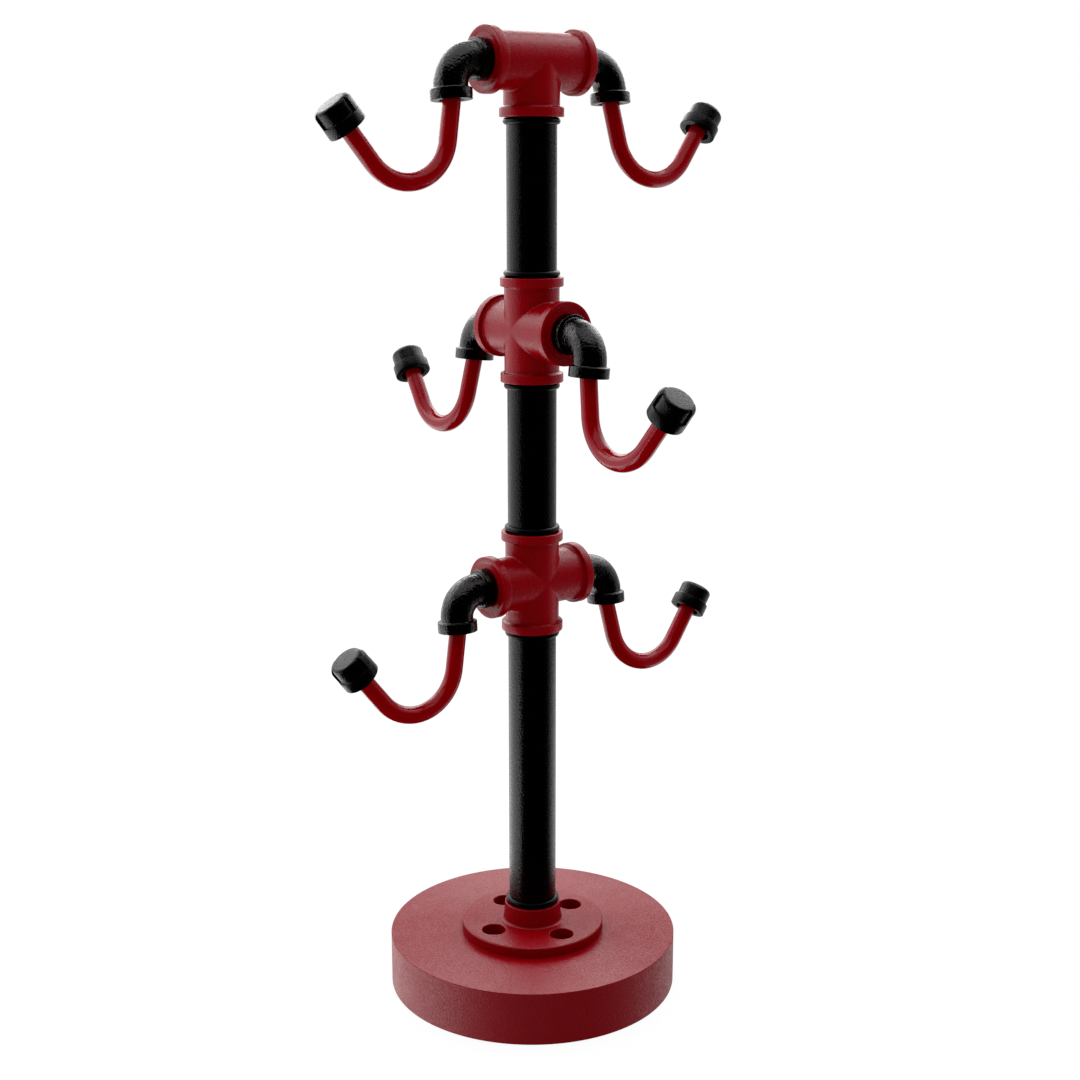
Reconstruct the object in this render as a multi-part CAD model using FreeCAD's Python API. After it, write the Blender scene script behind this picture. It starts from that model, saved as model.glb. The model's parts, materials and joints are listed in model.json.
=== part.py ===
import FreeCAD, Part
import math
import os

# Mug tree built from threaded pipe fittings.
# A round base carries a floor flange and an upright of three pipes. A cross,
# another cross and a tee join the pipes, and each of those three fittings
# carries two arms: a reducing bushing, a close nipple, a 90 degree elbow, a
# bent hook bar and an end cap.
# Frame: millimetres, +Z up, origin at the centre of the base on the table.
# +X runs along the arms of the top and lower tiers, +Y along those of the
# middle tier.

V = FreeCAD.Vector

OVERCUT = 1.0           # how far cutting tools stand out of what they cut

# ---------------------------------------------------------------- base
BASE_R = 102.5          # outer radius of the base disc
BASE_TOP = 38.0         # height of the base's upper face
BASE_LIFT = 0.5         # the rubber foot holds the disc this far off the table
BASE_EDGE = 0.6         # rounding of the disc's rims
FOOT_R_IN = 86.0        # rubber foot ring
FOOT_R_OUT = 97.0
FOOT_T = 3.0
FOOT_ROUND = 0.4

# ---------------------------------------------------------------- flange
FLANGE_R = 50.9
FLANGE_T = 7.1          # thickness of the plate
FLANGE_RIM_ROUND = 1.4
HUB_R_FOOT = 20.9
HUB_R_TOP = 19.9
HUB_TOP = 58.8          # height of the hub's upper end above the table
HUB_FILLET = 2.0
HUB_ROUND = 0.8
FLANGE_HOLE_R = 8.3     # open bolt holes
FLANGE_HOLE_PCD = 68.7
FLANGE_HOLES = 4
FLANGE_HOLE_BREAK = 0.5 # chamfer round each bolt hole

# base screws, up through the base into the flange
SCREWS = 4
SCREW_FIRST = 45.0      # degrees: the screws sit between the bolt holes
SCREW_R = 3.0
SCREW_PCD = 76.0
SCREW_CLEAR_R = 3.3
SCREW_HEAD_R = 5.0
SCREW_HEAD_H = 6.0
SCREW_HEAD_SINK = 8.0   # depth of the counterbore in the base's underside
SCREW_SINK_R = 5.6
SCREW_BITE = 5.2        # thread length inside the flange
SCREW_SOCKET_AF = 5.0
SCREW_SOCKET_H = 3.0
SCREW_HEAD_ROUND = 0.5
SCREW_POINT = 0.8       # chamfer at the screw's end

# ---------------------------------------------------------------- upright
PIPE_R = 16.7           # 1 inch nominal pipe, 33.4 mm outside
PIPE_BORE_R = 13.3
PIPE_CHAMFER = 1.0
PIPE_FOOT = 40.0        # height of the lowest pipe's end, just clear of the base
PIPE_ENTRY = 13.0       # how far a pipe end goes into a fitting
PORT_DEPTH = 14.0       # depth of a fitting's threaded bore
SWIVEL_CLEAR = 0.05     # radial clearance of the threads that turn
SWIVEL_GAP = 0.3        # clearance between a seal ring and a fitting that turns
SEAL_R = 2.25           # half-round seal ring at each pipe end
TIER_Z = {"lower": 298.3, "middle": 471.3, "top": 644.3}

# ---------------------------------------------------------------- cross, tee
ARM_END = 38.5          # centre to face of the side ports
POST_END = 35.0         # centre to face of the upright ports
BODY_R_SIDE = 18.6
BODY_R_POST = 18.5
BAND_R = 21.25
BAND_W = 6.3
BAND_ROUND = 0.7
BAND_FILLET = 1.2
PASSAGE_R = 13.9        # waterway through the side ports
POST_PASSAGE_R = 13.8   # waterway through the upright ports

# ---------------------------------------------------------------- arms
BUSH_LEN = 13.0         # reducing bushing, flush with the port's face
SMALL_R = 8.55          # 3/8 inch nominal thread, 17.1 mm outside
NIPPLE_HALF = 10.0
NIPPLE_BORE_R = 6.3
NIPPLE_CHAMFER = 0.6
ELBOW_A = 25.8          # elbow centre to face
ELBOW_STRAIGHT = 8.8    # straight part of each leg, at its face
ELBOW_BODY_R = 11.0
ELBOW_BAND_R = 13.4
ELBOW_BAND_W = 7.2
ELBOW_BAND_ROUND = 0.5
ELBOW_BAND_FILLET = 1.0
ELBOW_PORT_DEPTH = 11.0
ELBOW_PASSAGE_R = 7.4
ARM_SET = 5.64          # degrees: how far each elbow hangs off plumb

# ---------------------------------------------------------------- hooks, caps
HOOK_R = 5.85
HOOK_ENTRY = 10.0       # straight end of the bar inside the elbow
HOOK_SET = 11.45        # degrees: the leg leans outward from the elbow
HOOK_SET_R = 20.0       # bend radius of that set
HOOK_LEG = 24.8         # straight leg from the elbow's mouth to the bend
HOOK_BEND_R = 32.07
HOOK_RISE = 37.5        # degrees: lean of the rising leg from the vertical
HOOK_TIP = 24.6         # rising leg from the bend to the cap's mouth
HOOK_IN_CAP = 11.0
SLEEVE_LEN = 6.6        # threaded sleeve on each end of the bar
SLEEVE_SINK = 3.1       # how far a sleeve sits inside a mouth
CAP_LEN = 18.6
CAP_COLLAR_R = 13.0
CAP_COLLAR_H = 8.0
CAP_BODY_R = 11.5
CAP_CROWN_ROUND = 2.2
CAP_EDGE = 0.5          # rounding of the collar's edges and of the step above it
CAP_BORE_DEPTH = 14.0
LUG_WIDTH = 27.0        # degrees round the cap
LUG_TOP = 17.4
LUG_RECESS = 0.1        # how little the lugs stand inside the collar
LUG_ROOT = 2.0          # how deep a lug is rooted in the cap

# arm: (tier, side, direction about +Z in degrees, sign of the arm set,
#       turn of the cap's lugs in degrees)
ARMS = [
    ("top", "right", 0.0, -1, 52.0),
    ("top", "left", 180.0, 1, 114.0),
    ("middle", "back", 90.0, 1, 129.0),
    ("middle", "front", -90.0, -1, 64.0),
    ("lower", "right", 0.0, -1, 44.0),
    ("lower", "left", 180.0, 1, 116.0),
]

X_AXIS = V(1, 0, 0)
Y_AXIS = V(0, 1, 0)
Z_AXIS = V(0, 0, 1)
ORIGIN = V(0, 0, 0)


def profile_wire(points):
    """Closed wire in the XZ plane from (x, z, corner radius) points."""
    count = len(points)
    starts = []
    ends = []
    arcs = []
    for i in range(count):
        x, z, r = points[i]
        here = V(x, 0, z)
        before = V(points[i - 1][0], 0, points[i - 1][1]) - here
        after = V(points[(i + 1) % count][0], 0, points[(i + 1) % count][1]) - here
        before.normalize()
        after.normalize()
        if r <= 0:
            starts.append(here)
            ends.append(here)
            arcs.append(None)
            continue
        half = before.getAngle(after) / 2.0
        reach = r / math.tan(half)
        a = here + before * reach
        b = here + after * reach
        middle = before + after
        middle.normalize()
        centre = here + middle * (r / math.sin(half))
        mid = centre - middle * r
        starts.append(a)
        ends.append(b)
        arcs.append(Part.Arc(a, mid, b).toShape())
    edges = []
    for i in range(count):
        if arcs[i] is not None:
            edges.append(arcs[i])
        a = ends[i]
        b = starts[(i + 1) % count]
        if (b - a).Length > 1e-6:
            edges.append(Part.makeLine(a, b))
    return Part.Wire(edges)


def turned(points):
    """Solid of revolution about Z from (radius, z, corner radius) points."""
    face = Part.Face(profile_wire(points))
    return face.revolve(ORIGIN, Z_AXIS, 360.0)


def cylinder(radius, z_low, z_high):
    return Part.makeCylinder(radius, z_high - z_low, V(0, 0, z_low), Z_AXIS)


def tube(r_out, r_in, z_low, z_high, chamfer=0.0):
    """Pipe about Z, with a chamfer on the outer edge of each end."""
    c = chamfer
    if c > 0:
        return turned([
            (r_in, z_low, 0), (r_out - c, z_low, 0), (r_out, z_low + c, 0),
            (r_out, z_high - c, 0), (r_out - c, z_high, 0), (r_in, z_high, 0)])
    return turned([(r_in, z_low, 0), (r_out, z_low, 0),
                   (r_out, z_high, 0), (r_in, z_high, 0)])


def rotated(shape, angle, axis, centre=ORIGIN):
    result = shape.copy()
    result.rotate(centre, axis, angle)
    return result


def moved(shape, vector):
    result = shape.copy()
    result.translate(vector)
    return result


def one_solid(shape):
    """The single solid of a boolean result, with split faces joined."""
    clean = shape.removeSplitter()
    if len(clean.Solids) != 1:
        raise ValueError("expected one solid, found %d" % len(clean.Solids))
    return clean.Solids[0]


# ---------------------------------------------------------------- base pieces

def on_circle(pcd, count, first):
    """Points on a circle about Z."""
    spots = []
    for i in range(count):
        a = math.radians(first + 360.0 * i / count)
        spots.append(V(pcd / 2.0 * math.cos(a), pcd / 2.0 * math.sin(a), 0))
    return spots


def base_disc():
    e = BASE_EDGE
    disc = turned([(0, BASE_LIFT, 0), (BASE_R, BASE_LIFT, e),
                   (BASE_R, BASE_TOP, e), (0, BASE_TOP, 0)])
    groove = tube(FOOT_R_OUT, FOOT_R_IN, 0.0, FOOT_T)
    disc = disc.cut(groove)
    for spot in on_circle(SCREW_PCD, SCREWS, SCREW_FIRST):
        shank = cylinder(SCREW_CLEAR_R, 0, BASE_TOP + OVERCUT)
        disc = disc.cut(moved(shank, spot))
        sink = cylinder(SCREW_SINK_R, 0, BASE_LIFT + SCREW_HEAD_SINK)
        disc = disc.cut(moved(sink, spot))
    return one_solid(disc)


def foot_ring():
    return turned([(FOOT_R_IN, 0, FOOT_ROUND), (FOOT_R_OUT, 0, FOOT_ROUND),
                   (FOOT_R_OUT, FOOT_T, 0), (FOOT_R_IN, FOOT_T, 0)])


def hexagon(across_flats, z_low, height):
    r = across_flats / math.sqrt(3.0)
    corners = []
    for i in range(6):
        a = math.radians(60.0 * i)
        corners.append(V(r * math.cos(a), r * math.sin(a), z_low))
    face = Part.Face(Part.makePolygon(corners + [corners[0]]))
    return face.extrude(V(0, 0, height))


def base_screws():
    seat = BASE_LIFT + SCREW_HEAD_SINK
    head_low = seat - SCREW_HEAD_H
    tip = BASE_TOP + SCREW_BITE
    screw = turned([
        (0, head_low, 0), (SCREW_HEAD_R, head_low, SCREW_HEAD_ROUND),
        (SCREW_HEAD_R, seat, 0), (SCREW_R, seat, 0), (SCREW_R, tip - SCREW_POINT, 0),
        (SCREW_R - SCREW_POINT, tip, 0), (0, tip, 0)])
    socket = hexagon(SCREW_SOCKET_AF, head_low - OVERCUT, SCREW_SOCKET_H + OVERCUT)
    screw = one_solid(screw.cut(socket))
    spots = on_circle(SCREW_PCD, SCREWS, SCREW_FIRST)
    return Part.makeCompound([moved(screw, spot) for spot in spots])


def floor_flange():
    top = BASE_TOP + FLANGE_T
    flange = turned([
        (PIPE_R, BASE_TOP, 0), (FLANGE_R, BASE_TOP, 0),
        (FLANGE_R, top, FLANGE_RIM_ROUND),
        (HUB_R_FOOT, top, HUB_FILLET),
        (HUB_R_TOP, HUB_TOP, HUB_ROUND), (PIPE_R, HUB_TOP, 0)])
    flare = FLANGE_HOLE_R + FLANGE_HOLE_BREAK + OVERCUT
    hole = turned([
        (0, BASE_TOP - OVERCUT, 0), (FLANGE_HOLE_R, BASE_TOP - OVERCUT, 0),
        (FLANGE_HOLE_R, top - FLANGE_HOLE_BREAK, 0), (flare, top + OVERCUT, 0),
        (0, top + OVERCUT, 0)])
    for spot in on_circle(FLANGE_HOLE_PCD, FLANGE_HOLES, 0.0):
        flange = flange.cut(moved(hole, spot))
    tapped = cylinder(SCREW_R, BASE_TOP - OVERCUT, BASE_TOP + SCREW_BITE)
    for spot in on_circle(SCREW_PCD, SCREWS, SCREW_FIRST):
        flange = flange.cut(moved(tapped, spot))
    return one_solid(flange)


# ---------------------------------------------------------------- upright

def seal_ring(z_face, side, gap):
    """Half-round ring on a pipe, against the face at z_face.

    side is 1 when the ring lies above the face and -1 when it lies below.
    """
    near = z_face + side * gap
    far = near + side * 2.0 * SEAL_R
    middle = (near + far) / 2.0
    arc = Part.Arc(V(PIPE_R, 0, near), V(PIPE_R + SEAL_R, 0, middle),
                   V(PIPE_R, 0, far)).toShape()
    line = Part.makeLine(V(PIPE_R, 0, far), V(PIPE_R, 0, near))
    ring = Part.Face(Part.Wire([arc, line])).revolve(ORIGIN, Z_AXIS, 360.0)
    return ring


def port(end, body_r):
    """Solid arm of a fitting along +Z from its centre, with a band."""
    return turned([
        (0, 0, 0), (body_r, 0, 0), (body_r, end - BAND_W, BAND_FILLET),
        (BAND_R, end - BAND_W, BAND_ROUND), (BAND_R, end, BAND_ROUND),
        (0, end, 0)])


def port_bore(end, clearance):
    """Bore of a port along +Z, down from its mouth."""
    return cylinder(PIPE_R + clearance, end - PORT_DEPTH, end + OVERCUT)


def fitting(tier):
    """Cross, or a tee with its branch down where nothing stands above."""
    has_top = tier != "top"
    solid = rotated(port(ARM_END, BODY_R_SIDE), 90.0, Y_AXIS)
    solid = solid.fuse(rotated(port(ARM_END, BODY_R_SIDE), -90.0, Y_AXIS))
    solid = solid.fuse(rotated(port(POST_END, BODY_R_POST), 180.0, X_AXIS))
    if has_top:
        solid = solid.fuse(port(POST_END, BODY_R_POST))
    solid = solid.removeSplitter()
    run = cylinder(PASSAGE_R, -ARM_END - OVERCUT, ARM_END + OVERCUT)
    solid = solid.cut(rotated(run, 90.0, Y_AXIS))
    high = POST_END + OVERCUT if has_top else 0.0
    solid = solid.cut(cylinder(POST_PASSAGE_R, -POST_END - OVERCUT, high))
    for angle in (90.0, -90.0):
        solid = solid.cut(rotated(port_bore(ARM_END, 0.0), angle, Y_AXIS))
    down = rotated(port_bore(POST_END, SWIVEL_CLEAR), 180.0, X_AXIS)
    solid = solid.cut(down)
    if has_top:
        solid = solid.cut(port_bore(POST_END, 0.0))
    return one_solid(solid)


# ---------------------------------------------------------------- one arm
# An arm is built along +X with its outlet straight down, then set off plumb,
# turned about Z and lifted to its tier.

def along_x(shape):
    """Turn a shape made along +Z so that it lies along +X."""
    return rotated(shape, 90.0, Y_AXIS)


def port_bushing():
    low = ARM_END - BUSH_LEN
    return along_x(tube(PIPE_R, SMALL_R, low, ARM_END))


def close_nipple():
    low = ARM_END - NIPPLE_HALF
    high = ARM_END + NIPPLE_HALF
    return along_x(tube(SMALL_R, NIPPLE_BORE_R, low, high, NIPPLE_CHAMFER))


def elbow_leg():
    """Banded leg of the elbow along -Z from the start of its bend."""
    end = ELBOW_A
    low = ELBOW_A - ELBOW_STRAIGHT
    leg = turned([
        (0, low, 0), (ELBOW_BODY_R, low, 0),
        (ELBOW_BODY_R, end - ELBOW_BAND_W, ELBOW_BAND_FILLET),
        (ELBOW_BAND_R, end - ELBOW_BAND_W, ELBOW_BAND_ROUND),
        (ELBOW_BAND_R, end, ELBOW_BAND_ROUND), (0, end, 0)])
    return rotated(leg, 180.0, X_AXIS)


def quarter_bend(radius, x_centre):
    """Quarter torus from straight down to straight towards -X."""
    r = ELBOW_A - ELBOW_STRAIGHT
    start = V(x_centre, 0, -r)
    circle = Part.makeCircle(radius, start, Z_AXIS)
    face = Part.Face(Part.Wire([circle]))
    return face.revolve(V(x_centre - r, 0, -r), V(0, -1, 0), 90.0)


def elbow():
    x = ARM_END + ELBOW_A
    centre = V(x, 0, 0)
    down = moved(elbow_leg(), centre)
    side = moved(along_x(elbow_leg()), centre)
    solid = quarter_bend(ELBOW_BODY_R, x).fuse(down).fuse(side)
    solid = solid.removeSplitter()
    reach = ELBOW_A + OVERCUT
    port_low = ELBOW_A - ELBOW_PORT_DEPTH
    leg_low = ELBOW_A - ELBOW_STRAIGHT
    bore = rotated(cylinder(SMALL_R, port_low, reach), 180.0, X_AXIS)
    passage = rotated(cylinder(ELBOW_PASSAGE_R, leg_low, reach), 180.0, X_AXIS)
    for tool in (bore, passage):
        solid = solid.cut(moved(tool, centre))
        solid = solid.cut(moved(along_x(tool), centre))
    solid = solid.cut(quarter_bend(ELBOW_PASSAGE_R, x))
    return one_solid(solid)


def hook_path():
    """Centre line of the bar in the XZ plane: edges, tip point, tip direction."""
    x = ARM_END + ELBOW_A
    lean = math.radians(HOOK_SET)
    rise = math.radians(HOOK_RISE)
    tangent = HOOK_SET_R * math.tan(lean / 2.0)
    mouth = V(x, 0, -ELBOW_A)
    down = V(0, 0, -1)
    slant = V(math.sin(lean), 0, -math.cos(lean))
    top = mouth - down * HOOK_ENTRY
    a = mouth - down * tangent
    b = mouth + slant * tangent
    centre = a + V(HOOK_SET_R, 0, 0)
    mid = centre + V(-math.cos(lean / 2.0), 0, -math.sin(lean / 2.0)) * HOOK_SET_R
    c = mouth + slant * HOOK_LEG
    # the bend's centre lies outward of the leg
    outward = V(math.cos(lean), 0, math.sin(lean))
    hub = c + outward * HOOK_BEND_R
    turn = math.pi - lean - rise

    def on_bend(angle):
        t = lean + angle
        return hub + V(-math.cos(t), 0, -math.sin(t)) * HOOK_BEND_R

    d = on_bend(turn)
    up = V(math.sin(rise), 0, math.cos(rise))
    tip = d + up * HOOK_TIP
    end = tip + up * HOOK_IN_CAP
    edges = [
        Part.makeLine(top, a), Part.Arc(a, mid, b).toShape(),
        Part.makeLine(b, c), Part.Arc(c, on_bend(turn / 2.0), d).toShape(),
        Part.makeLine(d, end)]
    return edges, top, tip, up


def hook_bar():
    edges, top, tip, up = hook_path()
    circle = Part.makeCircle(HOOK_R, top, Z_AXIS)
    bar = Part.Wire(edges).makePipeShell([Part.Wire([circle])], True, False)
    return one_solid(bar)


def at_tip(shape):
    """Carry a shape built along +Z from a cap's mouth to the hook's tip."""
    edges, top, tip, up = hook_path()
    return moved(rotated(shape, HOOK_RISE, Y_AXIS), tip)


def hook_sleeves():
    x = ARM_END + ELBOW_A
    sleeve = tube(SMALL_R, HOOK_R, SLEEVE_SINK, SLEEVE_SINK + SLEEVE_LEN)
    low = moved(sleeve, V(x, 0, -ELBOW_A))
    return Part.makeCompound([low, at_tip(sleeve)])


def end_cap(turn):
    """Cap with its mouth at the hook's tip and its lugs turned about its axis."""
    body = turned([
        (0, 0, 0), (CAP_COLLAR_R, 0, CAP_EDGE),
        (CAP_COLLAR_R, CAP_COLLAR_H, CAP_EDGE), (CAP_BODY_R, CAP_COLLAR_H, CAP_EDGE),
        (CAP_BODY_R, CAP_LEN, CAP_CROWN_ROUND), (0, CAP_LEN, 0)])
    lug_r = CAP_COLLAR_R - LUG_RECESS
    lug_in = CAP_BODY_R - LUG_ROOT
    lug_low = CAP_COLLAR_H - LUG_ROOT
    wedge = profile_wire([
        (lug_in, lug_low, 0), (lug_r, lug_low, 0),
        (lug_r, LUG_TOP, CAP_CROWN_ROUND), (lug_in, LUG_TOP, 0)])
    for side in (0.0, 180.0):
        lug = rotated(Part.Face(wedge), side - LUG_WIDTH / 2.0, Z_AXIS)
        body = body.fuse(lug.revolve(ORIGIN, Z_AXIS, LUG_WIDTH))
    body = body.removeSplitter()
    body = body.cut(cylinder(SMALL_R, -OVERCUT, CAP_BORE_DEPTH))
    return one_solid(at_tip(rotated(body, turn, Z_AXIS)))


def place_arm(shape, tier, direction, sign):
    """Set an arm piece off plumb, turn it about Z and lift it to its tier."""
    result = rotated(shape, sign * ARM_SET, X_AXIS)
    result.rotate(ORIGIN, Z_AXIS, direction)
    result.translate(V(0, 0, TIER_Z[tier]))
    return result


# ---------------------------------------------------------------- assembly

def build():
    nodes = {}
    nodes["base_disc"] = base_disc()
    nodes["base_foot_ring"] = foot_ring()
    nodes["base_screws"] = base_screws()
    nodes["floor_flange"] = floor_flange()

    lower = TIER_Z["lower"]
    middle = TIER_Z["middle"]
    top = TIER_Z["top"]
    inset = POST_END - PIPE_ENTRY
    nodes["lower_pipe"] = tube(
        PIPE_R, PIPE_BORE_R, PIPE_FOOT, lower - inset, PIPE_CHAMFER)
    nodes["middle_pipe"] = tube(
        PIPE_R, PIPE_BORE_R, lower + inset, middle - inset, PIPE_CHAMFER)
    nodes["upper_pipe"] = tube(
        PIPE_R, PIPE_BORE_R, middle + inset, top - inset, PIPE_CHAMFER)

    nodes["flange_seal_ring"] = seal_ring(HUB_TOP, 1, 0.0)
    for tier, name in (("lower", "lower_cross"), ("middle", "middle_cross"),
                       ("top", "top_tee")):
        z = TIER_Z[tier]
        shape = moved(fitting(tier), V(0, 0, z))
        if tier == "middle":
            shape.rotate(ORIGIN, Z_AXIS, 90.0)
        nodes[name] = shape
        nodes[name + "_seal_ring_below"] = seal_ring(z - POST_END, -1, SWIVEL_GAP)
        if tier != "top":
            nodes[name + "_seal_ring_above"] = seal_ring(z + POST_END, 1, 0.0)

    bushing = port_bushing()
    nipple = close_nipple()
    bend = elbow()
    hook = hook_bar()
    sleeves = hook_sleeves()
    for tier, side, direction, sign, turn in ARMS:
        prefix = tier + "_" + side + "_"
        pieces = {
            "port_bushing": bushing, "close_nipple": nipple, "elbow": bend,
            "hook": hook, "hook_sleeves": sleeves, "end_cap": end_cap(turn)}
        for piece, shape in pieces.items():
            nodes[prefix + piece] = place_arm(shape, tier, direction, sign)
    return nodes


os.makedirs("parts", exist_ok=True)
for name, shape in build().items():
    if not shape.isValid():
        raise ValueError("invalid shape: " + name)
    shape.exportStep("parts/" + name + ".step")
    box = shape.BoundBox
    print("%-34s solids %d  volume %10.1f  z %.1f to %.1f" % (
        name, len(shape.Solids), shape.Volume, box.ZMin, box.ZMax))
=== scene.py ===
import json
import math

import bmesh
import bpy
from mathutils import Matrix, Vector, noise


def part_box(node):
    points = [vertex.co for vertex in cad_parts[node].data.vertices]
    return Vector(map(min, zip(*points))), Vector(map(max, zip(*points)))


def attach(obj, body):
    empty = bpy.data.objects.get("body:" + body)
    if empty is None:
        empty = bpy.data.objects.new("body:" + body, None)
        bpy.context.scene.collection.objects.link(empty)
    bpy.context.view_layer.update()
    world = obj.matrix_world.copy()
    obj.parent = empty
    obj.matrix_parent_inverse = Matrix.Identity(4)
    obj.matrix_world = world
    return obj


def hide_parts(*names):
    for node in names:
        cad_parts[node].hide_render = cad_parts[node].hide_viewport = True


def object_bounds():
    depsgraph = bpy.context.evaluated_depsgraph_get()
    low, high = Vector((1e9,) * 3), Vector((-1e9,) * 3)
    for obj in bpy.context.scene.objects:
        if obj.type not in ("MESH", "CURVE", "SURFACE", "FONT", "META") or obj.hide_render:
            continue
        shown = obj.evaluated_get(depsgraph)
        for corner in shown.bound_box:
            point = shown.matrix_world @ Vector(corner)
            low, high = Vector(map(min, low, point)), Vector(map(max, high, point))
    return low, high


# Looks of the mug tree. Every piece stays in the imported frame, in metres,
# with +Z up and the post on the Z axis.

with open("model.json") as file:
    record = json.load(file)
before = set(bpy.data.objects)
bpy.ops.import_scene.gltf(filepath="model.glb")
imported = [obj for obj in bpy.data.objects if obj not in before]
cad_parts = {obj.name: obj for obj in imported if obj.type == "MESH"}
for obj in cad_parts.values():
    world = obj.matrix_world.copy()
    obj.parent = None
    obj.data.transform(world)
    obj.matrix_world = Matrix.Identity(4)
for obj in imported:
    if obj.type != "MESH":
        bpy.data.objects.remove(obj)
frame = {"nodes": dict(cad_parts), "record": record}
CAD_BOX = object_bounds()
NODES = frame["nodes"]

MM = 0.001

# ---------------------------------------------------------------- view and light
CAMERA_TURN = math.radians(37.04)    # the camera stands this far round from -Y to -X
CAMERA_DISTANCE = 1.11575            # from the post's axis, measured level
CAMERA_ASIDE = 0.00545               # to the right of the line through the post
CAMERA_HEIGHT = 0.58427
CAMERA_DROP = math.radians(13.014)   # how far the camera looks down
CAMERA_LENS = 55.32
SENSOR = 36.0
CAMERA_NEAR = 0.05
CAMERA_FAR = 60.0

AHEAD = Vector((math.sin(CAMERA_TURN), math.cos(CAMERA_TURN), 0.0))
ASIDE = Vector((math.cos(CAMERA_TURN), -math.sin(CAMERA_TURN), 0.0))

# Upright softboxes: name, azimuth from the camera in degrees (positive to the
# right), distance, width, lowest and highest edge, radiance. They reach below
# the floor, which lets them through, to stand for the pale sweep round the object.
WALLS = [
    ("light_left_high", -118.0, 1.5, 2.0, 0.85, 1.8, 1.9),
    ("light_left", -118.0, 1.5, 2.0, -0.30, 0.85, 1.05),
    ("light_left_low", -118.0, 1.5, 2.0, -1.7, -0.30, 1.9),
    ("light_left_edge", -70.0, 1.6, 0.62, -0.30, 1.8, 0.75),
    ("light_left_low_edge", -70.0, 1.6, 0.62, -1.7, -0.30, 2.2),
    ("light_right_high", 125.0, 1.5, 1.4, 0.85, 1.8, 1.2),
    ("light_right", 125.0, 1.5, 1.4, -0.30, 0.85, 0.5),
    ("light_right_low", 125.0, 1.5, 1.4, -1.7, -0.30, 1.1),
    ("light_right_edge", 90.0, 1.6, 0.7, -1.7, 1.8, 0.30),
    ("light_back_high", 180.0, 1.7, 2.4, 0.75, 1.8, 2.8),
    ("light_back", 180.0, 1.7, 2.4, -1.7, 0.75, 0.55),
]
# Softboxes overhead: name, azimuth, elevation, distance, width, height, radiance
OVERHEAD = [
    ("light_high_left", -132.0, 50.0, 1.8, 1.1, 0.7, 0.9),
    ("light_high_right", 132.0, 50.0, 1.8, 1.1, 0.7, 1.6),
    ("light_fan_left", -88.0, 42.0, 1.8, 0.6, 0.9, 0.5),
    ("light_fan_right", 88.0, 42.0, 1.8, 0.6, 0.9, 0.5),
    ("light_top", 0.0, 89.0, 1.8, 2.6, 2.6, 0.85),
]

FLOOR_RADIUS = 7.0
FLOOR_POINTS = 96
FLOOR_SHADE = 0.10       # how much of the light on it the floor gives back
FLOOR_MOTTLE = 0.01      # how far that varies
FLOOR_GLOW_NEAR = 0.92   # light that the camera sees in it near the post
FLOOR_GLOW_FAR = 1.0     # and far away
FLOOR_FADE = (0.5, 3.5)  # radii between which one turns into the other
FLOOR_BOUNCE = 0.55      # what it sends up onto the object
BACKDROP = 1.0           # what the camera sees past the floor
FILL = 0.36              # even light from all round

# how the picture's tones follow the light: a soft toe keeps the blacks deep
TONE_CURVE = ((0.0, 0.0), (0.015, 0.004), (0.05, 0.036), (0.12, 0.115), (1.0, 1.0))


# ---------------------------------------------------------------- materials
# Scales count the features of a noise in a metre.

GRAIN_SCALE = 850.0      # fine grain of a sprayed coat
GRAIN_SPREAD = (0.35, 0.65)      # range of a detailed noise that is put to use
GRAIN_ROUGH = 0.09       # how far a grain's roughness is from the coat's
SMEAR_SCALE = 60.0       # broad patches in the roughness
SMEAR_ROUGH = (-0.02, 0.04)
PEEL_SCALE = 230.0       # orange peel under the grain
PEEL_DEPTH = 0.4 * MM
PEEL_STRENGTH = 0.10
SPREAD = (0.3, 0.7)      # range of a soft noise that is put to use

# red, green and blue of the paint, as shares of its depth
RED_LIGHT = (1.12, 0.003, 0.040)
RED_DARK = (0.96, 0.002, 0.030)
RED_SPECK = (0.66, 0.0, 0.02)
RED_SPECK_SPREAD = (0.40, 0.65)
RED_SPECK_SHARE = 0.5
BLACK = 0.0012
BLACK_RANGE = 2.0        # the lacquer's lightest patches against its darkest


def grey(value):
    return (value, value, value, 1)


def tint(shares, depth):
    """The colour of a paint of some depth."""
    return tuple(depth * share for share in shares) + (1,)


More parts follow.
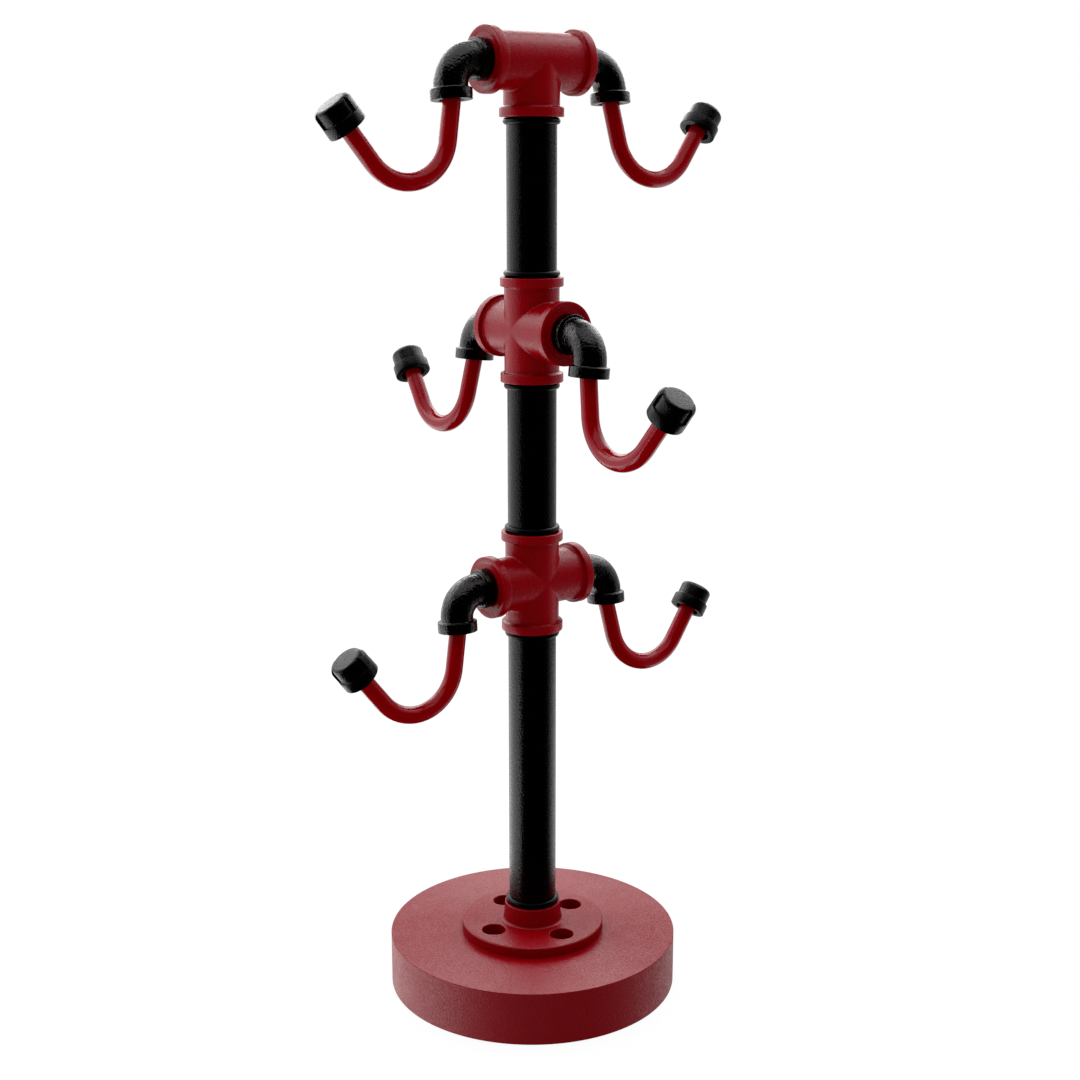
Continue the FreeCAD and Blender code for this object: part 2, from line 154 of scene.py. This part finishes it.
class Shader:
    """A material's node tree with short calls for the nodes used here."""

    def __init__(self, name):
        self.material = bpy.data.materials.new(name)
        self.material.use_nodes = True
        self.nodes = self.material.node_tree.nodes
        self.links = self.material.node_tree.links
        self.surface = self.nodes["Principled BSDF"]
        self.place = self.nodes.new("ShaderNodeTexCoord").outputs["Object"]

    def set(self, **values):
        """Constants on the surface shader's own sockets."""
        for key, value in values.items():
            self.surface.inputs[key.replace("_", " ")].default_value = value

    def feed(self, socket, source):
        self.links.new(source, self.surface.inputs[socket])

    def noise(self, scale, detail=2.0, rough=0.5):
        node = self.nodes.new("ShaderNodeTexNoise")
        node.inputs["Scale"].default_value = scale
        node.inputs["Detail"].default_value = detail
        node.inputs["Roughness"].default_value = rough
        self.links.new(self.place, node.inputs["Vector"])
        return node.outputs["Fac"]

    def span(self, source, low, high, to_low, to_high):
        """source from low..high mapped to to_low..to_high."""
        node = self.nodes.new("ShaderNodeMapRange")
        for key, value in (("From Min", low), ("From Max", high),
                           ("To Min", to_low), ("To Max", to_high)):
            node.inputs[key].default_value = value
        self.links.new(source, node.inputs["Value"])
        return node.outputs["Result"]

    def mix(self, factor, first, second):
        """Colour between two colours or sockets."""
        node = self.nodes.new("ShaderNodeMix")
        node.data_type = "RGBA"
        for name, value in (("Factor", factor), ("A", first), ("B", second)):
            kind = "VALUE" if name == "Factor" else "RGBA"
            socket = next(s for s in node.inputs if s.name == name and s.type == kind)
            if isinstance(value, bpy.types.NodeSocket):
                self.links.new(value, socket)
            else:
                socket.default_value = value
        return next(s for s in node.outputs if s.type == "RGBA")

    def math(self, kind, first, second):
        node = self.nodes.new("ShaderNodeMath")
        node.operation = kind
        for slot, value in ((0, first), (1, second)):
            if isinstance(value, bpy.types.NodeSocket):
                self.links.new(value, node.inputs[slot])
            else:
                node.inputs[slot].default_value = value
        return node.outputs[0]

    def bump(self, height, strength, distance, before=None):
        node = self.nodes.new("ShaderNodeBump")
        node.inputs["Strength"].default_value = strength
        node.inputs["Distance"].default_value = distance
        self.links.new(height, node.inputs["Height"])
        if before is not None:
            self.links.new(before, node.inputs["Normal"])
        return node.outputs["Normal"]


def coat_grain(s, rough, grain, scale=GRAIN_SCALE):
    """Fine grain of a sprayed coat, in its roughness and as bumps.

    grain is the height of the bumps in millimetres. The grain comes back, so
    that a colour can follow it.
    """
    fine = s.noise(scale, 2.0, 0.55)
    smear = s.span(s.noise(SMEAR_SCALE, 4.0, 0.6), *SPREAD, *SMEAR_ROUGH)
    speckle = s.span(fine, *GRAIN_SPREAD, rough - GRAIN_ROUGH, rough + GRAIN_ROUGH)
    s.feed("Roughness", s.math("ADD", smear, speckle))
    peel = s.bump(s.noise(PEEL_SCALE, 1.0), PEEL_STRENGTH, PEEL_DEPTH)
    s.feed("Normal", s.bump(fine, 1.0, grain * MM, peel))
    return fine


def red_paint(name, rough, grain, depth=0.28, ior=1.5, turned=0.0):
    """Deep red satin coat with a fine grain.

    turned draws the sheen out along circles round the Z axis, as on a part
    that was turned on a lathe before it was sprayed.
    """
    s = Shader(name)
    fine = coat_grain(s, rough, grain)
    broad = s.mix(s.noise(22.0, 3.0), tint(RED_LIGHT, depth), tint(RED_DARK, depth))
    speck = s.span(fine, *RED_SPECK_SPREAD, 0.0, RED_SPECK_SHARE)
    s.feed("Base Color", s.mix(speck, broad, tint(RED_SPECK, depth)))
    s.set(IOR=ior)
    if turned > 0:
        tangent = s.nodes.new("ShaderNodeTangent")
        tangent.direction_type = "RADIAL"
        tangent.axis = "Z"
        s.feed("Tangent", tangent.outputs["Tangent"])
        s.set(Anisotropic=turned)
    return s.material


def black_coat(name, rough, grain, ior=1.5, scale=GRAIN_SCALE):
    """Black lacquer with a fine grain."""
    s = Shader(name)
    coat_grain(s, rough, grain, scale)
    s.feed("Base Color", s.mix(s.noise(40.0, 3.0), grey(BLACK), grey(BLACK * BLACK_RANGE)))
    s.set(IOR=ior)
    return s.material


def bare_steel(name):
    """Machined steel without a coat."""
    s = Shader(name)
    shade = s.mix(s.noise(180.0, 3.0), (0.42, 0.42, 0.43, 1), (0.55, 0.55, 0.56, 1))
    s.feed("Base Color", shade)
    s.feed("Roughness", s.span(s.noise(400.0, 3.0), *SPREAD, 0.28, 0.42))
    s.set(Metallic=1.0)
    return s.material


def rubber(name):
    """Dull black rubber."""
    s = Shader(name)
    s.feed("Base Color", s.mix(s.noise(90.0, 3.0), grey(0.003), grey(0.006)))
    s.feed("Roughness", s.span(s.noise(150.0, 3.0), *SPREAD, 0.30, 0.42))
    s.feed("Normal", s.bump(s.noise(1800.0, 2.0), 0.10, 0.1 * MM))
    s.set(IOR=1.36)
    return s.material


# name, roughness, height of the grain in millimetres, and what differs by coat
MATERIALS = {
    "base_paint": red_paint("base_paint", 0.44, 0.28, depth=0.27, ior=1.65, turned=0.75),
    "flange_paint": red_paint("flange_paint", 0.40, 0.28, depth=0.26, turned=0.7),
    "fitting_paint": red_paint("fitting_paint", 0.29, 0.22),
    "hook_paint": red_paint("hook_paint", 0.15, 0.08),
    "pipe_black": black_coat("pipe_black", 0.26, 0.24),
    "elbow_black": black_coat("elbow_black", 0.16, 0.42, ior=1.7, scale=600.0),
    "cap_black": black_coat("cap_black", 0.32, 0.25),
    "sleeve_black": black_coat("sleeve_black", 0.45, 0.2),
    "bare_steel": bare_steel("bare_steel"),
    "seal_rubber": rubber("seal_rubber"),
    "foot_rubber": rubber("foot_rubber"),
}


def paint_nodes():
    """Give every CAD node the material of its slot in the record."""
    for row in frame["record"]["subparts"]:
        mesh = NODES[row["node"]].data
        material = MATERIALS[row["material_slot"]]
        mesh.materials.clear()
        mesh.materials.append(material)


# ---------------------------------------------------------------- cast fittings
# Lengths here are in millimetres, about the middle of the fitting, with its
# side ports along X and its post along Z.

RING = 96                 # points round a fitting
CAST_R = 18.55            # of the round bodies, side and post alike
CROTCH_R = 1.7            # rounding where the side body meets the post
CROTCH_FADE = 0.35        # the smaller, the later that rounding fades out
SIDE_END = 38.5
POST_END = 35.0
BAND_R = 21.25
BAND_W = 6.3
BAND_ROUND = 0.7
BAND_ROOT = 1.2           # rounding at the band's foot
PORT_R = 16.7
PORT_MOUTH = 0.02         # chamfer round the port
SIDE_PORT_DEPTH = 13.1
POST_PORT_DEPTH = 14.0
RUN_STEPS = 20            # along a straight body
CROTCH_STEPS = 8
ROUND_STEPS = 5           # round each small rounding
SHARP = math.radians(50)  # a fold over this stays a crisp edge
SEW = 0.004               # points nearer than this become one
SLIVER = 0.002            # edges shorter than this are taken out

ELBOW_RING = 80
ELBOW_R = 11.0
ELBOW_BAND_R = 13.4
ELBOW_BAND_W = 7.2
ELBOW_BAND_ROUND = 0.5
ELBOW_BAND_ROOT = 1.0
ELBOW_STRAIGHT = 8.8
ELBOW_BEND_R = 17.0
ELBOW_PORT_R = 8.6
ELBOW_PORT_DEPTH = 11.0
ELBOW_BEND_STEPS = 40
LUMPS = ((0.11, 5.5), (0.07, 2.2))   # height and size of a casting's unevenness
LUMP_SHIFT = 31.0         # keeps one elbow's unevenness clear of the next one's
ARM_SET = math.radians(5.64)   # how far each arm leans round its own port

# name, its tier's fitting, body, direction in degrees, which way the arm leans,
# turn of its cap's lugs in degrees
ARMS = [
    ("top_right", "top_tee", "top_tier", 0, -1, 63.0),
    ("top_left", "top_tee", "top_tier", 180, 1, 139.0),
    ("middle_back", "middle_cross", "middle_tier", 90, 1, 141.0),
    ("middle_front", "middle_cross", "middle_tier", -90, -1, 41.0),
    ("lower_right", "lower_cross", "lower_tier", 0, -1, 52.0),
    ("lower_left", "lower_cross", "lower_tier", 180, 1, 133.0),
]
# fitting, body, turn about the post, whether the post goes on above it
FITTINGS = [
    ("lower_cross", "lower_tier", 0, True),
    ("middle_cross", "middle_tier", 90, True),
    ("top_tee", "top_tier", 0, False),
]


class Skin:
    """Quads gathered from grids of points, sewn where the grids share points."""

    def __init__(self):
        self.shape = bmesh.new()

    def grid(self, rows, closed=False):
        made = [[self.shape.verts.new(p) for p in row] for row in rows]
        for near, far in zip(made, made[1:]):
            count = len(near)
            for i in range(count if closed else count - 1):
                k = (i + 1) % count
                self.shape.faces.new((near[i], near[k], far[k], far[i]))

    def finish(self, name, place, body, node, slot):
        """The sewn mesh as a piece that stands for a CAD node."""
        shape = self.shape
        bmesh.ops.remove_doubles(shape, verts=shape.verts[:], dist=SEW)
        bmesh.ops.dissolve_degenerate(shape, edges=shape.edges[:], dist=SLIVER)
        bmesh.ops.recalc_face_normals(shape, faces=shape.faces[:])
        for face in shape.faces:
            face.smooth = True
        for edge in shape.edges:
            edge.smooth = not edge.is_manifold or edge.calc_face_angle() < SHARP
        shape.transform(place @ Matrix.Scale(MM, 4))
        mesh = bpy.data.meshes.new(name)
        shape.to_mesh(mesh)
        shape.free()
        mesh.materials.append(MATERIALS[slot])
        piece = bpy.data.objects.new(name, mesh)
        bpy.context.scene.collection.objects.link(piece)
        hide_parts(node)
        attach(piece, body)


def arc(middle, radius, start, end, steps):
    """Points on an arc, angles in degrees."""
    out = []
    for i in range(steps + 1):
        a = math.radians(start + (end - start) * i / steps)
        out.append((middle[0] + radius * math.cos(a), middle[1] + radius * math.sin(a)))
    return out


def band_profile(body_r, end, band_r, band_w, corner, root, port_r, depth):
    """(length, radius) from the round body, over the band and into the port."""
    foot = end - band_w
    return (arc((foot - root, body_r + root), root, -90, 0, ROUND_STEPS)
            + arc((foot + corner, band_r - corner), corner, 180, 90, ROUND_STEPS)
            + arc((end - corner, band_r - corner), corner, 90, 0, ROUND_STEPS)
            + [(end, port_r + PORT_MOUTH), (end - PORT_MOUTH, port_r),
               (end - depth, port_r), (end - depth, 0.0)])


def crotch_radius(swing):
    """The rounding fades out where the two bodies run into one another."""
    return CROTCH_R * swing / (CROTCH_FADE + (1 - CROTCH_FADE) * swing)


def quadrant(skin, side, up):
    """A quarter of a cross: along the side body, round the crotch, up the post."""
    rows = []
    side_run = SIDE_END - BAND_W - BAND_ROOT
    post_run = POST_END - BAND_W - BAND_ROOT
    for j in range(RING // 2 + 1):
        a = 2.0 * math.pi * j / RING
        y = CAST_R * math.cos(a)
        h = CAST_R * math.sin(a)
        r = crotch_radius(math.sin(a))
        run = [(side_run + (h + r - side_run) * i / RUN_STEPS, h)
               for i in range(RUN_STEPS)]
        run += arc((h + r, h + r), r, 270, 180, CROTCH_STEPS)
        run += [(h, h + r + (post_run - h - r) * i / RUN_STEPS)
                for i in range(1, RUN_STEPS + 1)]
        rows.append([(side * x, y, up * z) for x, z in run])
    skin.grid(rows)


def port(skin, place, profile):
    """A band and its port, round the Z axis of a placement."""
    rows = []
    for length, radius in profile:
        row = []
        for j in range(RING):
            a = 2.0 * math.pi * j / RING
            row.append(place @ Vector((radius * math.cos(a), radius * math.sin(a),
                                       length)))
        rows.append(row)
    skin.grid(rows, closed=True)


def closed_top(skin):
    """The plain half-round back of a tee."""
    side_run = SIDE_END - BAND_W - BAND_ROOT
    rows = []
    for j in range(RING // 2 + 1):
        a = 2.0 * math.pi * j / RING
        rows.append([(side_run * i / RUN_STEPS, CAST_R * math.cos(a),
                      CAST_R * math.sin(a)) for i in range(-RUN_STEPS, RUN_STEPS + 1)])
    skin.grid(rows)


def tier_height(fitting):
    """Height of a fitting's middle, in millimetres."""
    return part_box(fitting)[0].z / MM + POST_END


def add_fitting(node, body, turn, post_goes_on):
    """A cross, or a tee where the post ends in it."""
    skin = Skin()
    side = band_profile(CAST_R, SIDE_END, BAND_R, BAND_W, BAND_ROUND, BAND_ROOT,
                        PORT_R, SIDE_PORT_DEPTH)
    post = band_profile(CAST_R, POST_END, BAND_R, BAND_W, BAND_ROUND, BAND_ROOT,
                        PORT_R, POST_PORT_DEPTH)
    for x in (1, -1):
        port(skin, Matrix.Rotation(x * math.pi / 2, 4, "Y"), side)
        quadrant(skin, x, -1)
        if post_goes_on:
            quadrant(skin, x, 1)
    port(skin, Matrix.Rotation(math.pi, 4, "X"), post)
    if post_goes_on:
        port(skin, Matrix.Identity(4), post)
    else:
        closed_top(skin)
    place = (Matrix.Translation((0, 0, tier_height(node) * MM))
             @ Matrix.Rotation(math.radians(turn), 4, "Z"))
    skin.finish(node + "_casting", place, body, node, "fitting_paint")


def cast_lump(p, seed):
    """Shallow unevenness of sand-cast iron."""
    q = p + Vector((LUMP_SHIFT * seed, 17.0, 5.0))
    return sum(height * noise.noise(q / size) for height, size in LUMPS)


def add_elbow(name, fitting, body, direction, lean, seed):
    """Quarter bend with a band round each port: in along X, out downwards."""
    band = band_profile(ELBOW_R, 0.0, ELBOW_BAND_R, ELBOW_BAND_W, ELBOW_BAND_ROUND,
                        ELBOW_BAND_ROOT, ELBOW_PORT_R, ELBOW_PORT_DEPTH)
    reach = SIDE_END + ELBOW_STRAIGHT + ELBOW_BEND_R
    inlet = Matrix.Translation((SIDE_END, 0, 0)) @ Matrix.Rotation(-math.pi / 2, 4, "Y")
    outlet = (Matrix.Translation((reach, 0, -ELBOW_STRAIGHT - ELBOW_BEND_R))
              @ Matrix.Rotation(math.pi, 4, "Y"))
    rings = [(inlet, length, radius) for length, radius in reversed(band)]
    for i in range(ELBOW_BEND_STEPS + 1):
        a = math.pi / 2 * i / ELBOW_BEND_STEPS
        spot = Vector((reach - ELBOW_BEND_R + ELBOW_BEND_R * math.sin(a), 0,
                       -ELBOW_BEND_R + ELBOW_BEND_R * math.cos(a)))
        rings.append((Matrix.Translation(spot) @ Matrix.Rotation(a - math.pi / 2, 4, "Y"),
                      0.0, ELBOW_R))
    rings += [(outlet, length, radius) for length, radius in band]
    rows = []
    for place, length, radius in rings:
        row = []
        for j in range(ELBOW_RING):
            a = 2.0 * math.pi * j / ELBOW_RING
            out = Vector((math.cos(a), math.sin(a), 0.0))
            if place is outlet:
                out.x = -out.x
            p = place @ (out * radius + Vector((0, 0, length)))
            if radius > ELBOW_PORT_R + PORT_MOUTH:
                p += (place.to_3x3() @ out) * cast_lump(p, seed)
            row.append(p)
        rows.append(row)
    skin = Skin()
    skin.grid(rows, closed=True)
    place = (Matrix.Translation((0, 0, tier_height(fitting) * MM))
             @ Matrix.Rotation(math.radians(direction), 4, "Z")
             @ Matrix.Rotation(lean * ARM_SET, 4, "X"))
    skin.finish(name + "_elbow_casting", place, body, name + "_elbow", "elbow_black")


# ---------------------------------------------------------------- end caps
# Millimetres, built along +Z from the cap's mouth at the tip of the hook.

CAP_LEN = 18.6
CAP_COLLAR_R = 13.0
CAP_COLLAR_H = 8.0
CAP_EDGE = 0.5
CAP_BODY_R = 11.4
CAP_BODY_ROUND = 2.6
CAP_FILLET = 0.8          # in the corner between the body and the collar
CAP_LUG_R = 12.9
CAP_FACE_R = CAP_BODY_R - CAP_BODY_ROUND    # the flat of the crown
CAP_LUG_ROUND = CAP_LUG_R - CAP_FACE_R
CAP_BORE_R = 8.56
CAP_BORE_DEPTH = 14.0
LUG_HALF = 24.0           # degrees to each side of a lug's middle
LUG_WALL = 2.5            # degrees over which a lug falls to the body
CAP_WEAR = 0.004          # share of its size that the casting's unevenness takes
CAP_WEAR_SIZE = 4.0
CAP_EVEN_RIM = 1.0        # both ends stay even over this height
EDGE_STEPS = 3
FILLET_STEPS = 4
CROWN_STEPS = 8
LUG_STEPS = 6             # over half a lug
WALL_STEPS = 4
PLAIN_STEPS = 30          # from lug to lug

HOOK_SET = math.radians(11.45)     # lean of the leg that hangs from the elbow
HOOK_LEG = 24.8
HOOK_BEND_R = 32.07
HOOK_RISE = math.radians(37.5)     # lean of the leg that rises to the cap
HOOK_TIP = 24.6


def hook_tip():
    """Where a cap's mouth sits on its arm, and how it leans."""
    elbow = ELBOW_STRAIGHT + ELBOW_BEND_R
    out = Vector((math.cos(HOOK_SET), 0, math.sin(HOOK_SET)))
    down = Vector((math.sin(HOOK_SET), 0, -math.cos(HOOK_SET)))
    rise = Vector((math.sin(HOOK_RISE), 0, math.cos(HOOK_RISE)))
    side = Vector((math.cos(HOOK_RISE), 0, -math.sin(HOOK_RISE)))
    start = Vector((SIDE_END + elbow, 0, -elbow)) + down * HOOK_LEG
    tip = start + (out + side) * HOOK_BEND_R + rise * HOOK_TIP
    return Matrix.Translation(tip) @ Matrix.Rotation(HOOK_RISE, 4, "Y")


def cap_profiles():
    """(radius, height) from the bore over the collar to the crown: body, lug."""
    collar = ([(0.0, CAP_BORE_DEPTH), (CAP_BORE_R, CAP_BORE_DEPTH), (CAP_BORE_R, 0.0)]
              + arc((CAP_COLLAR_R - CAP_EDGE, CAP_EDGE), CAP_EDGE, -90, 0, EDGE_STEPS)
              + arc((CAP_COLLAR_R - CAP_EDGE, CAP_COLLAR_H - CAP_EDGE),
                    CAP_EDGE, 0, 90, EDGE_STEPS))
    body = (arc((CAP_BODY_R + CAP_FILLET, CAP_COLLAR_H + CAP_FILLET),
                CAP_FILLET, -90, -180, FILLET_STEPS)
            + arc((CAP_FACE_R, CAP_LEN - CAP_BODY_ROUND), CAP_BODY_ROUND,
                  0, 90, CROWN_STEPS))
    lug = ([(CAP_LUG_R, CAP_COLLAR_H + CAP_FILLET * i / FILLET_STEPS)
            for i in range(FILLET_STEPS + 1)]
           + arc((CAP_FACE_R, CAP_LEN - CAP_LUG_ROUND), CAP_LUG_ROUND,
                 0, 90, CROWN_STEPS))
    crown = [(0.0, CAP_LEN)]
    return collar + body + crown, collar + lug + crown


def cap_columns():
    """(degrees, share of lug) once round a cap, a lug in the middle of each half."""
    falls = [(LUG_HALF + LUG_WALL * i / WALL_STEPS,
              0.5 + 0.5 * math.cos(math.pi * i / WALL_STEPS))
             for i in range(1, WALL_STEPS + 1)]
    low = LUG_HALF + LUG_WALL
    columns = [(LUG_HALF * i / LUG_STEPS, 1.0) for i in range(-LUG_STEPS, LUG_STEPS + 1)]
    columns += falls
    columns += [(low + (180 - 2 * low) * i / PLAIN_STEPS, 0.0)
                for i in range(1, PLAIN_STEPS + 1)]
    columns += [(180 - degrees, share) for degrees, share in reversed(falls[:-1])]
    return columns + [(degrees + 180, share) for degrees, share in columns]


def add_cap(name, fitting, body, direction, lean, seed, turn):
    """Cast cap: a collar, and a crown with two broad lugs."""
    plain, raised = cap_profiles()
    columns = cap_columns()
    rows = []
    for (r0, z0), (r1, z1) in zip(plain, raised):
        row = []
        for degrees, share in columns:
            a = math.radians(degrees + turn)
            r = r0 + (r1 - r0) * share
            p = Vector((r * math.cos(a), r * math.sin(a), z0 + (z1 - z0) * share))
            if r > CAP_BORE_R and CAP_EVEN_RIM < p.z < CAP_LEN - CAP_EVEN_RIM:
                rough = noise.noise(p / CAP_WEAR_SIZE + Vector((seed, 3, 7)))
                p *= 1.0 - CAP_WEAR * (1.0 + rough)
            row.append(p)
        rows.append(row)
    skin = Skin()
    skin.grid(rows, closed=True)
    hung = (Matrix.Rotation(math.radians(direction), 4, "Z")
            @ Matrix.Rotation(lean * ARM_SET, 4, "X") @ hook_tip())
    hung.translation = hung.translation * MM
    place = Matrix.Translation((0, 0, tier_height(fitting) * MM)) @ hung
    skin.finish(name + "_cap_casting", place, body, name + "_end_cap", "cap_black")


# ---------------------------------------------------------------- camera, light

def azimuth_line(degrees):
    """Level unit vector away from the post, turned from the camera's side."""
    a = math.radians(degrees)
    return ASIDE * math.sin(a) - AHEAD * math.cos(a)


def aim(obj, target):
    obj.rotation_mode = "QUATERNION"
    obj.rotation_quaternion = (target - obj.location).to_track_quat("-Z", "Y")


def add_camera():
    """Level with the upper half of the object and looking a little down."""
    data = bpy.data.cameras.new("camera")
    data.lens = CAMERA_LENS
    data.sensor_width = SENSOR
    data.clip_start = CAMERA_NEAR
    data.clip_end = CAMERA_FAR
    camera = bpy.data.objects.new("camera", data)
    bpy.context.scene.collection.objects.link(camera)
    camera.location = (ASIDE * CAMERA_ASIDE - AHEAD * CAMERA_DISTANCE
                       + Vector((0, 0, CAMERA_HEIGHT)))
    level = AHEAD * math.cos(CAMERA_DROP)
    aim(camera, camera.location + level - Vector((0, 0, math.sin(CAMERA_DROP))))
    bpy.context.scene.camera = camera


def softbox(name, place, target, width, height, radiance):
    """Rectangular light of a given radiance, which the camera doesn't see."""
    data = bpy.data.lights.new(name, "AREA")
    data.shape = "RECTANGLE"
    data.size = width
    data.size_y = height
    data.energy = radiance * math.pi * width * height
    light = bpy.data.objects.new(name, data)
    bpy.context.scene.collection.objects.link(light)
    light.location = place
    aim(light, target)
    light.visible_camera = False


def add_lights():
    middle = Vector((0, 0, CAD_BOX[1].z / 2))
    for name, azimuth, distance, width, low, high, radiance in WALLS:
        height = Vector((0, 0, (low + high) / 2))
        softbox(name, azimuth_line(azimuth) * distance + height, height,
                width, high - low, radiance)
    for name, azimuth, elevation, distance, width, height, radiance in OVERHEAD:
        e = math.radians(elevation)
        away = azimuth_line(azimuth) * math.cos(e) + Vector((0, 0, math.sin(e)))
        softbox(name, middle + away * distance, middle, width, height, radiance)


def add_world():
    """Pale surroundings: a plain backdrop and an even fill without reflections."""
    world = bpy.data.worlds.new("studio")
    bpy.context.scene.world = world
    world.use_nodes = True
    nodes = world.node_tree.nodes
    links = world.node_tree.links
    seen = nodes.new("ShaderNodeLightPath").outputs["Is Camera Ray"]
    level = nodes.new("ShaderNodeMix")
    level.data_type = "RGBA"
    colours = [s for s in level.inputs if s.type == "RGBA"]
    colours[0].default_value = grey(FILL)
    colours[1].default_value = grey(BACKDROP)
    links.new(seen, level.inputs[0])
    out = next(s for s in level.outputs if s.type == "RGBA")
    links.new(out, nodes["Background"].inputs["Color"])
    world.cycles_visibility.glossy = False


def add_floor():
    """A plain pale disc, evenly bright out to its rim."""
    mesh = bpy.data.meshes.new("floor")
    shape = bmesh.new()
    bmesh.ops.create_circle(shape, cap_ends=True, segments=FLOOR_POINTS, radius=FLOOR_RADIUS)
    shape.to_mesh(mesh)
    shape.free()
    floor = bpy.data.objects.new("floor", mesh)
    bpy.context.scene.collection.objects.link(floor)
    s = Shader("floor")
    s.feed("Base Color", s.mix(s.noise(3.0), grey(FLOOR_SHADE),
                               grey(FLOOR_SHADE + FLOOR_MOTTLE)))
    away = s.nodes.new("ShaderNodeVectorMath")
    away.operation = "LENGTH"
    s.links.new(s.place, away.inputs[0])
    glow = s.span(away.outputs["Value"], *FLOOR_FADE, FLOOR_GLOW_NEAR - FLOOR_BOUNCE,
                  FLOOR_GLOW_FAR - FLOOR_BOUNCE)
    seen = s.nodes.new("ShaderNodeLightPath").outputs["Is Camera Ray"]
    s.feed("Emission Strength", s.math("ADD", s.math("MULTIPLY", glow, seen),
                                       FLOOR_BOUNCE))
    s.set(Roughness=1.0, Specular_IOR_Level=0.0, Emission_Color=(1, 1, 1, 1))
    mesh.materials.append(s.material)
    floor.visible_glossy = False
    floor.visible_shadow = False


def set_tones():
    """Bend the dark end of the tone curve."""
    view = bpy.context.scene.view_settings
    view.view_transform = "Standard"
    view.use_curve_mapping = True
    curve = view.curve_mapping.curves[3]
    for x, y in TONE_CURVE[1:-1]:
        curve.points.new(x, y)
    view.curve_mapping.update()


for row in FITTINGS:
    add_fitting(*row)
for number, (arm, fitting, body, direction, lean, turn) in enumerate(ARMS):
    add_elbow(arm, fitting, body, direction, lean, number)
    add_cap(arm, fitting, body, direction, lean, number, turn)
paint_nodes()
add_camera()
add_lights()
add_world()
add_floor()
set_tones()
